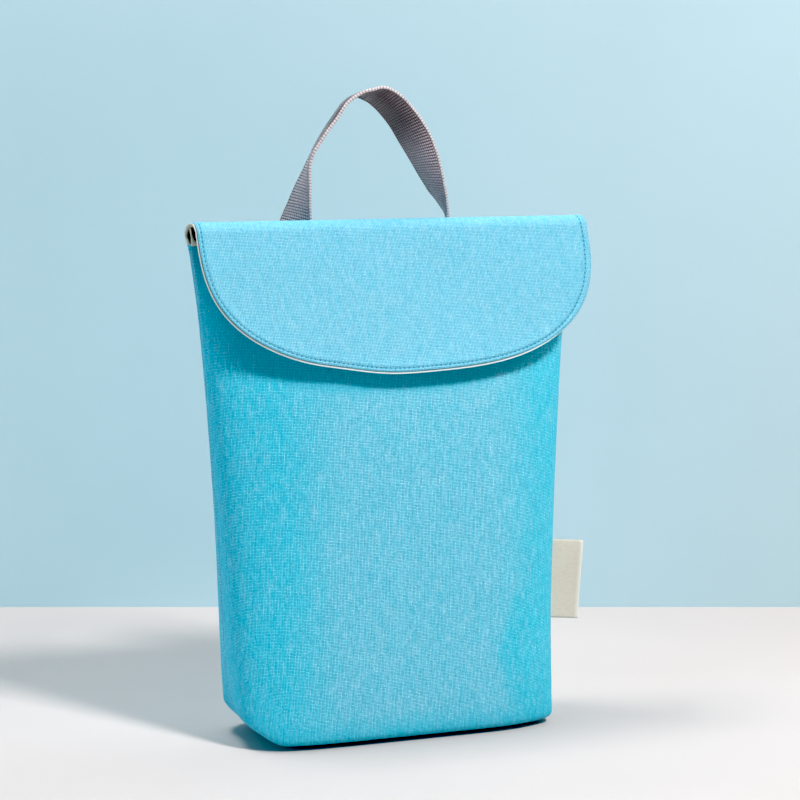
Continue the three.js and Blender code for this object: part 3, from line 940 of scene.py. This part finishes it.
def makeStitchTree():
    numbers = ("pitch", "threadLong", "threadWide", "threadHigh", "holeWide")
    t, asked, spots, turned = startRowTree("stitchRow", numbers, ("thread", "hole"))
    ball = t.get("GeometryNodeMeshUVSphere", {"Segments": 8, "Rings": 6, "Radius": 0.5})
    ball = t.get("GeometryNodeSetShadeSmooth", {0: ball})

    def row(size, shift, isHole):
        put = putOut(t, keepMark(t, ball, "marked", isHole, "BOOLEAN", "FACE"), spots, turned, size)
        inputs = {"Instances": put, "Translation": pair(t, shift, 0.0)}
        return t.get("GeometryNodeTranslateInstances", inputs)

    thread = (asked["threadLong"], asked["threadWide"], asked["threadHigh"])
    hole = (asked["holeWide"], asked["holeWide"], asked["threadHigh"] * 0.8)
    both = t.node("GeometryNodeJoinGeometry")
    for placed in (row(hole, 0.0, True), row(thread, asked["pitch"] * 0.5, False)):
        t.tree.links.new(placed.socket, both.inputs[0])
    return endRowTree(t, Sock(t, both.outputs[0]), asked["thread"], asked["hole"])


def makeRibTree():
    # bars of yarn across a webbing; each keeps its place across and along
    t, asked, spots, turned = startRowTree("ribRow", ("pitch", "ribLong", "ribWide", "ribHigh"), ("yarn",))
    bar = t.get("GeometryNodeMeshCylinder", {"Vertices": 8, "Radius": 0.5, "Depth": 1.0})
    bar = t.get("GeometryNodeSetShadeSmooth", {0: bar})
    bar = t.get("GeometryNodeTransform", {"Geometry": bar, "Rotation": (pi / 2, 0, 0)})
    place = t.node("ShaderNodeSeparateXYZ", {0: t.get("GeometryNodeInputPosition")})
    bar = keepMark(t, bar, "across", Sock(t, place.outputs[1]) * asked["ribWide"] / mm)
    spots = keepMark(t, spots, "along", t.get("GeometryNodeSplineParameter", out=1) / mm)
    bars = putOut(t, bar, spots, turned, (asked["ribLong"], asked["ribWide"], asked["ribHigh"]))
    return endRowTree(t, bars, asked["yarn"])


stitchTree = makeStitchTree()
ribTree = makeRibTree()


def setOut(name, tree, paths, sizes, materials):
    # paths hold points in mm with the way out of the cloth at each
    mesh = bpy.data.meshes.new(name + "Path")
    points, edges, ups = [], [], []
    for path in paths:
        first = len(points)
        for point, up in path:
            points.append(point * mm)
            ups.append(up)
        edges += [(i, i + 1) for i in range(first, len(points) - 1)]
    mesh.from_pydata(points, edges, [])
    layer = mesh.attributes.new("clothUp", "FLOAT_VECTOR", "POINT")
    for spot, up in zip(layer.data, ups):
        spot.vector = up
    path = addObject(name + "Path", mesh)
    modifier = path.modifiers.new("row", "NODES")
    modifier.node_group = tree
    for item in tree.interface.items_tree:
        if item.in_out == "INPUT" and item.name in sizes:
            modifier[item.identifier] = sizes[item.name] * mm
        elif item.name in materials:
            modifier[item.identifier] = materials[item.name]
    graph = bpy.context.evaluated_depsgraph_get()
    made = bpy.data.meshes.new_from_object(path.evaluated_get(graph), depsgraph=graph)
    made.name = name
    bpy.data.objects.remove(path)
    return addObject(name, made)


# the handle: a dark core with thick selvages, and ribs of yarn across both faces

handle = {
    "wide": 20, "core": 0.8, "selvage": 1.6, "selvageWide": 1.1, "selvageSteps": 12, "selvageTurn": 0.7,
    "rowStep": 1.2, "ribHigh": 0.9, "ribLong": 1.22, "ribOver": 0.8,
    "onPanel": 2.2, "leftX": -45, "rightX": 39.5, "end": 212, "sewn": 230,
}


def sewnRow(x, z, turn):
    return (x, backOfPouch(x, z) + handle["onPanel"], z, turn, 0)


# each row is a place on the middle line in mm, then the turn and the dip of the width in degrees
handleRows = [
    sewnRow(handle["leftX"], handle["end"], -90),
    sewnRow(handle["leftX"], handle["sewn"], -88),
    (-44.6, 16.5, 241, -77, 0),
    (-43.7, 16.8, 252, -55, 1),
    (-42.1, 15.4, 264, -30, 2),
    (-40.6, 15, 271.7, -16, 2),
    (-39.1, 14.5, 278.7, -6, 2),
    (-37.8, 14, 284.5, 4, 2),
    (-36.6, 13.5, 289.9, 11, 1),
    (-34.7, 13, 295.2, 15, 0),
    (-31.6, 12.6, 300.8, 14, -1),
    (-27.6, 12.3, 306.9, 13, -1),
    (-23.3, 12.2, 312.7, 12, -2),
    (-17.1, 12.5, 320.7, 14, -2),
    (-9.8, 12.9, 325.2, 12, 3),
    (-3.9, 13.5, 325.5, 3, 16),
    (1.2, 14, 324.4, -10, 24),
    (7.6, 14, 319.8, -20, 26),
    (14.1, 14, 312.5, -27, 23),
    (20, 14, 303.6, -31, 21),
    (24.9, 14.5, 294.7, -24, 19),
    (29.5, 15.5, 284.9, -13, 15),
    (33.3, 16.5, 276.5, -1, 13),
    (36, 17, 271.1, 8, 10),
    (38.8, 17.4, 263.9, 19, 6),
    (40.2, 17.4, 256.5, 37, 2),
    (40.2, 16.6, 248, 60, 0),
    (39.8, 15.6, 239, 79, 0),
    sewnRow(handle["rightX"], handle["sewn"], 88),
    sewnRow(handle["rightX"], handle["end"], 90),
]


def handleLine():
    # even steps along the webbing, each with its centre, its width and its face
    rows = [(*row, i) for i, row in enumerate(handleRows)]
    fine = 2000
    step = 0.02
    last = len(rows) - 1

    def valueAt(t, column):
        return fromTable(rows, -1, t, column)

    def place(t):
        return Vector([valueAt(t, column) for column in range(3)])

    reach = lengthsOf([place(last * i / fine) for i in range(fine + 1)])
    wanted = evenly(0, reach[-1], round(reach[-1] / handle["rowStep"]))
    out = []
    for want, (k, share) in zip(wanted, walk(reach, wanted)):
        t = last * (k + share) / fine
        along = (place(min(t + step, last)) - place(max(t - step, 0))).normalized()
        turn, dip = [radians(valueAt(t, column)) for column in (3, 4)]
        wide = Vector((sin(turn) * cos(dip), cos(turn) * cos(dip), -sin(dip)))
        wide = (wide - along * wide.dot(along)).normalized()
        out.append({"along": want, "centre": place(t), "wide": wide, "face": along.cross(wide)})
    return out


def makeHandle(line):
    half = handle["wide"] / 2
    edge = handle["selvageWide"]
    rim = [(half - edge, handle["core"] / 2)]
    # round the selvage, from the upper face to the lower
    turn = pi * handle["selvageTurn"]
    for angle in evenly(turn, -turn, handle["selvageSteps"]):
        rim.append((half - edge / 2 + edge / 2 * cos(angle), handle["selvage"] / 2 * sin(angle)))
    rim.append((half - edge, -handle["core"] / 2))
    outline = rim + [(-across, -lift) for across, lift in rim]
    points, marks = [], {"across": [], "along": []}
    for row in line:
        for across, lift in outline:
            points.append(tuple(row["centre"] + row["wide"] * across + row["face"] * lift))
            marks["across"].append(across)
            marks["along"].append(row["along"])
    ring = len(outline)
    faces = []
    for j in range(len(line) - 1):
        for i in range(ring):
            a, b = j * ring + i, j * ring + (i + 1) % ring
            faces.append((b, a, a + ring, b + ring))
    faces.append(tuple(range(ring)))
    faces.append(tuple(range(len(points) - 1, len(points) - ring - 1, -1)))
    return makePiece("handleStrap", points, faces, None, (webbingCore,), marks)


strapLine = handleLine()
handleStrap = makeHandle(strapLine)
standFor(handleStrap, "grey_webbing", "handle_strap")

ribPaths = []
for side in (1, -1):
    lift = side * (handle["core"] / 2)
    ribPaths.append([(row["centre"] + row["face"] * lift, row["face"] * side) for row in strapLine])
ribSizes = {"pitch": webbing["rib"], "ribLong": handle["ribLong"], "ribHigh": handle["ribHigh"],
            "ribWide": handle["wide"] - 2 * handle["selvageWide"] + handle["ribOver"]}
handleRibs = setOut("handleRibs", ribTree, ribPaths, ribSizes, {"yarn": webbingRib})
standFor(handleRibs, "grey_webbing")
print("handle made, length mm:", round(strapLine[-1]["along"]), "rib faces:", len(handleRibs.data.polygons))


# the label: a bare ribbon folded double in the right side seam

label = {
    "tall": 42, "reach": 20, "middle": 71, "standOff": 0.4, "fold": 1.0, "ply": 0.55, "pinch": 0.55,
    "bend": 3, "droop": 1.3, "wave": 0.5, "waveTurn": 5, "waveStart": 0.4,
    "pale": 0.8, "paleFrom": (-2.2, 0.8), "rows": 42, "steps": 24, "foldSteps": 12,
}


def makeLabel():
    low, high = label["middle"] - label["tall"] / 2, label["middle"] + label["tall"] / 2
    fold, straight = label["fold"], label["reach"] - label["fold"]
    path = [(x, -fold) for x in evenly(0, straight, label["steps"])]
    for angle in evenly(-pi / 2, pi / 2, label["foldSteps"])[1:-1]:
        path.append((straight + fold * cos(angle), fold * sin(angle)))
    path += [(x, fold) for x in evenly(straight, 0, label["steps"])]
    reach = lengthsOf(path)
    points, flat, wearAndHighlight = [], [], []
    for j, z in enumerate(evenly(low, high, label["rows"])):
        seamX = sectionAt(z)["half"] + label["standOff"]
        wave = label["wave"] * sin(j / label["rows"] * label["waveTurn"] + label["waveStart"])
        for (x, y), along in zip(path, reach):
            free = x / label["reach"]
            bend = wave * free - label["bend"] * free ** 2
            y = y * blend(label["pinch"], 1, ease(free * 2)) + bend
            points.append((seamX + x, y, z - label["droop"] * free))
            flat.append((along, z))
            # painted highlight: paler along the fold at the free end
            wearAndHighlight.append(label["pale"] * past(x - label["reach"], *label["paleFrom"]))
    faces = gridFaces(len(path), label["rows"] + 1)
    corners = cornersOf(faces, flat)
    return makePiece("sideLabel", points, faces, corners, (ribbonWeave,), {"wearAndHighlight": wearAndHighlight}, label["ply"])


sideLabel = makeLabel()
standFor(sideLabel, "cream_ribbon", "side_label")
print("label made")


# stitches on the flap, the flap's root, the low back seam and the handle's ends

stitch = {
    "pitch": 2.4, "threadLong": 1.5, "threadWide": 0.42, "threadHigh": 0.3, "holeWide": 0.9, "proud": 0.06,
    "overFold": 1.5, "foldSteps": 20, "shortOfFold": 0.5,
    "rootIn": 2.5, "rootShort": 3, "rootSteps": 150,
    "backDown": 2.6, "backLeft": -62, "backRight": 74, "backSteps": 160, "backProud": 0.1,
}


def onFlap(x, length, toEdge):
    lift = flapLift(x, length, toEdge)
    here = overFlap(x, length, lift + stitch["proud"])
    return here, (overFlap(x, length, lift + 1) - overFlap(x, length, lift)).normalized()


def flapStitchPaths():
    cut = flapEdge(flap)
    line = insetEdge(cut, [stitchInset(point.x) for point in cut])
    lowest, highest = -flap["foldRadius"] * stitch["overFold"], flap["foldFront"] - stitch["shortOfFold"]
    lengths = evenly(lowest, highest, stitch["foldSteps"])
    places = [(line[0].x, length) for length in lengths] + [tuple(point) for point in line]
    places += [(line[-1].x, length) for length in reversed(lengths)]
    edge = [onFlap(x, length, stitchInset(x)) for x, length in places]
    rootRow = stitch["rootIn"] - flap["rootLength"]
    narrow = blend(1, flap["rootHalf"] / flap["half"], (rootRow / flap["rootLength"]) ** 2)
    reach = flap["half"] * narrow - stitch["rootShort"]
    root = [onFlap(x, rootRow, farFromEdge) for x in evenly(-reach, reach, stitch["rootSteps"])]
    return edge, root


skyThreads = {"thread": skyThread, "hole": needleShade}
flapStitches = setOut("flapStitches", stitchTree, flapStitchPaths(), stitch, skyThreads)
standFor(flapStitches, "sky_cloth")
print("flap stitches made, faces:", len(flapStitches.data.polygons))


def backSeamPath():
    z = pouch["backSeam"] - stitch["backDown"]
    step = 0.5
    path = []
    for x in evenly(stitch["backLeft"], stitch["backRight"], stitch["backSteps"]):
        y = backOfPouch(x, z)
        here = Vector((x, y + stitch["backProud"] + clothWave(x, y, z), standing(x, z, 1)))
        ahead = backOfPouch(x + step, z) - backOfPouch(x - step, z)
        path.append((here, Vector((-ahead, 1, 0)).normalized()))
    return path


seamStitches = setOut("seamStitches", stitchTree, [backSeamPath()], stitch, skyThreads)
standFor(seamStitches, "sky_cloth")

boxStitch = {
    "pitch": 2.4, "threadLong": 1.9, "threadWide": 0.55, "threadHigh": 0.5, "holeWide": 0.4,
    "boxLong": 14, "inset": 2.6, "steps": 20,
}


def boxPaths():
    # a sewn box with a cross on each end of the webbing
    paths = []
    half = handle["wide"] / 2 - boxStitch["inset"]
    a, b = boxStitch["inset"], boxStitch["inset"] + boxStitch["boxLong"]
    corners = [(a, -half), (a, half), (b, half), (b, -half), (a, -half)]
    lines = list(zip(corners, corners[1:])) + [((a, -half), (b, half)), ((a, half), (b, -half))]
    rise = handle["core"] / 2 + handle["ribHigh"] / 2
    for rows in (strapLine, strapLine[::-1]):
        start = rows[0]["along"]
        for ends in lines:
            alongs, acrosses = [evenly(*both, boxStitch["steps"]) for both in zip(*ends)]
            path = []
            for want, across in zip(alongs, acrosses):
                row = min(rows, key=lambda r: abs(abs(r["along"] - start) - want))
                out = row["face"] if row["face"].y > 0 else -row["face"]
                path.append((row["centre"] + row["wide"] * across + out * rise, out))
            paths.append(path)
    return paths


greyThreads = {"thread": greyThread, "hole": greyThread}
strapStitches = setOut("strapStitches", stitchTree, boxPaths(), boxStitch, greyThreads)
standFor(strapStitches, "grey_webbing")
print("seam and handle stitches made")
# floor, wall, light and camera, in metres

view = {"place": (-0.3678, -1.0557, 0.3243), "turn": -19.569, "down": 7.839, "lens": 99.48, "sensor": 36}
stage = {
    "wallFoot": (0.096, 0.248), "half": 4, "deep": 6, "high": 3,
    "floor": ((0.65, 0.60, 0.58), (0.68, 0.625, 0.605)), "wall": ((0.53, 0.71, 0.765), (0.555, 0.735, 0.79)),
}


def makeStagePiece(name, points):
    material, tree = newMaterial(name + "Paint")
    grain = objectNoise(tree, 6.0, 3.0)
    dark, light = stage[name]
    finishMaterial(tree, {
        "Base Color": tree.ramp(grain, (0.3, dark), (0.7, light)),
        "Roughness": 0.75 + 0.1 * grain,
        "Specular IOR Level": 0.2,
        "Alpha": 1 - tree.get("ShaderNodeNewGeometry", out=6),  # seen through from behind
    })
    mesh = bpy.data.meshes.new(name)
    mesh.from_pydata(points, [], [tuple(range(len(points)))])
    mesh.materials.append(material)
    piece = addObject(name, mesh)


def makeStage():
    turn = radians(view["turn"])
    along = Vector((cos(turn), sin(turn), 0)) * stage["half"]
    foot = Vector((*stage["wallFoot"], 0))
    forward = Vector((sin(turn), -cos(turn), 0)) * stage["deep"]
    high = Vector((0, 0, stage["high"]))
    makeStagePiece("floor", [foot - along + forward, foot + along + forward, foot + along, foot - along])
    makeStagePiece("wall", [foot - along, foot + along, foot + along + high, foot - along + high])


makeStage()

lamps = {
    "key": {"place": (0.52, -1.07, 1.56), "size": 0.3, "power": 32, "colour": (1, 0.94, 0.93)},
    "left": {"place": (-1.61, -0.49, 0.63), "size": 0.9, "power": 6.3, "colour": (0.42, 0.79, 1)},
    "top": {"place": (-0.44, 0.17, 1.82), "size": 0.5, "power": 14, "colour": (1, 0.97, 0.96)},
}
room = {"aim": (0, 0, 0.14), "colour": (0.45, 0.82, 1.0), "strength": 0.085, "black": 0.05}


def addLamp(name, lamp):
    data = bpy.data.lights.new(name, "AREA")
    data.shape = "DISK"
    data.size = lamp["size"]
    data.energy = lamp["power"]
    data.color = lamp["colour"]
    piece = addObject(name, data)
    piece.location = lamp["place"]
    piece.rotation_euler = (Vector(room["aim"]) - Vector(lamp["place"])).to_track_quat("-Z", "Y").to_euler()


for name, lamp in lamps.items():
    addLamp(name, lamp)
world = bpy.data.worlds.new("studio")
world.use_nodes = True
background = world.node_tree.nodes["Background"]
background.inputs[0].default_value = (*room["colour"], 1)
background.inputs[1].default_value = room["strength"]
bpy.context.scene.world = world
look = bpy.context.scene.view_settings
look.view_transform = "Standard"
look.use_curve_mapping = True  # the photo's darks are deep
look.curve_mapping.black_level = (room["black"],) * 3
look.curve_mapping.update()

eye = bpy.data.cameras.new("eye")
eye.sensor_width = view["sensor"]
eye.lens = view["lens"]
camera = addObject("eye", eye)
camera.location = view["place"]
camera.rotation_euler = (radians(90 - view["down"]), 0, radians(view["turn"]))
bpy.context.scene.camera = camera
print("stage, light and camera set")
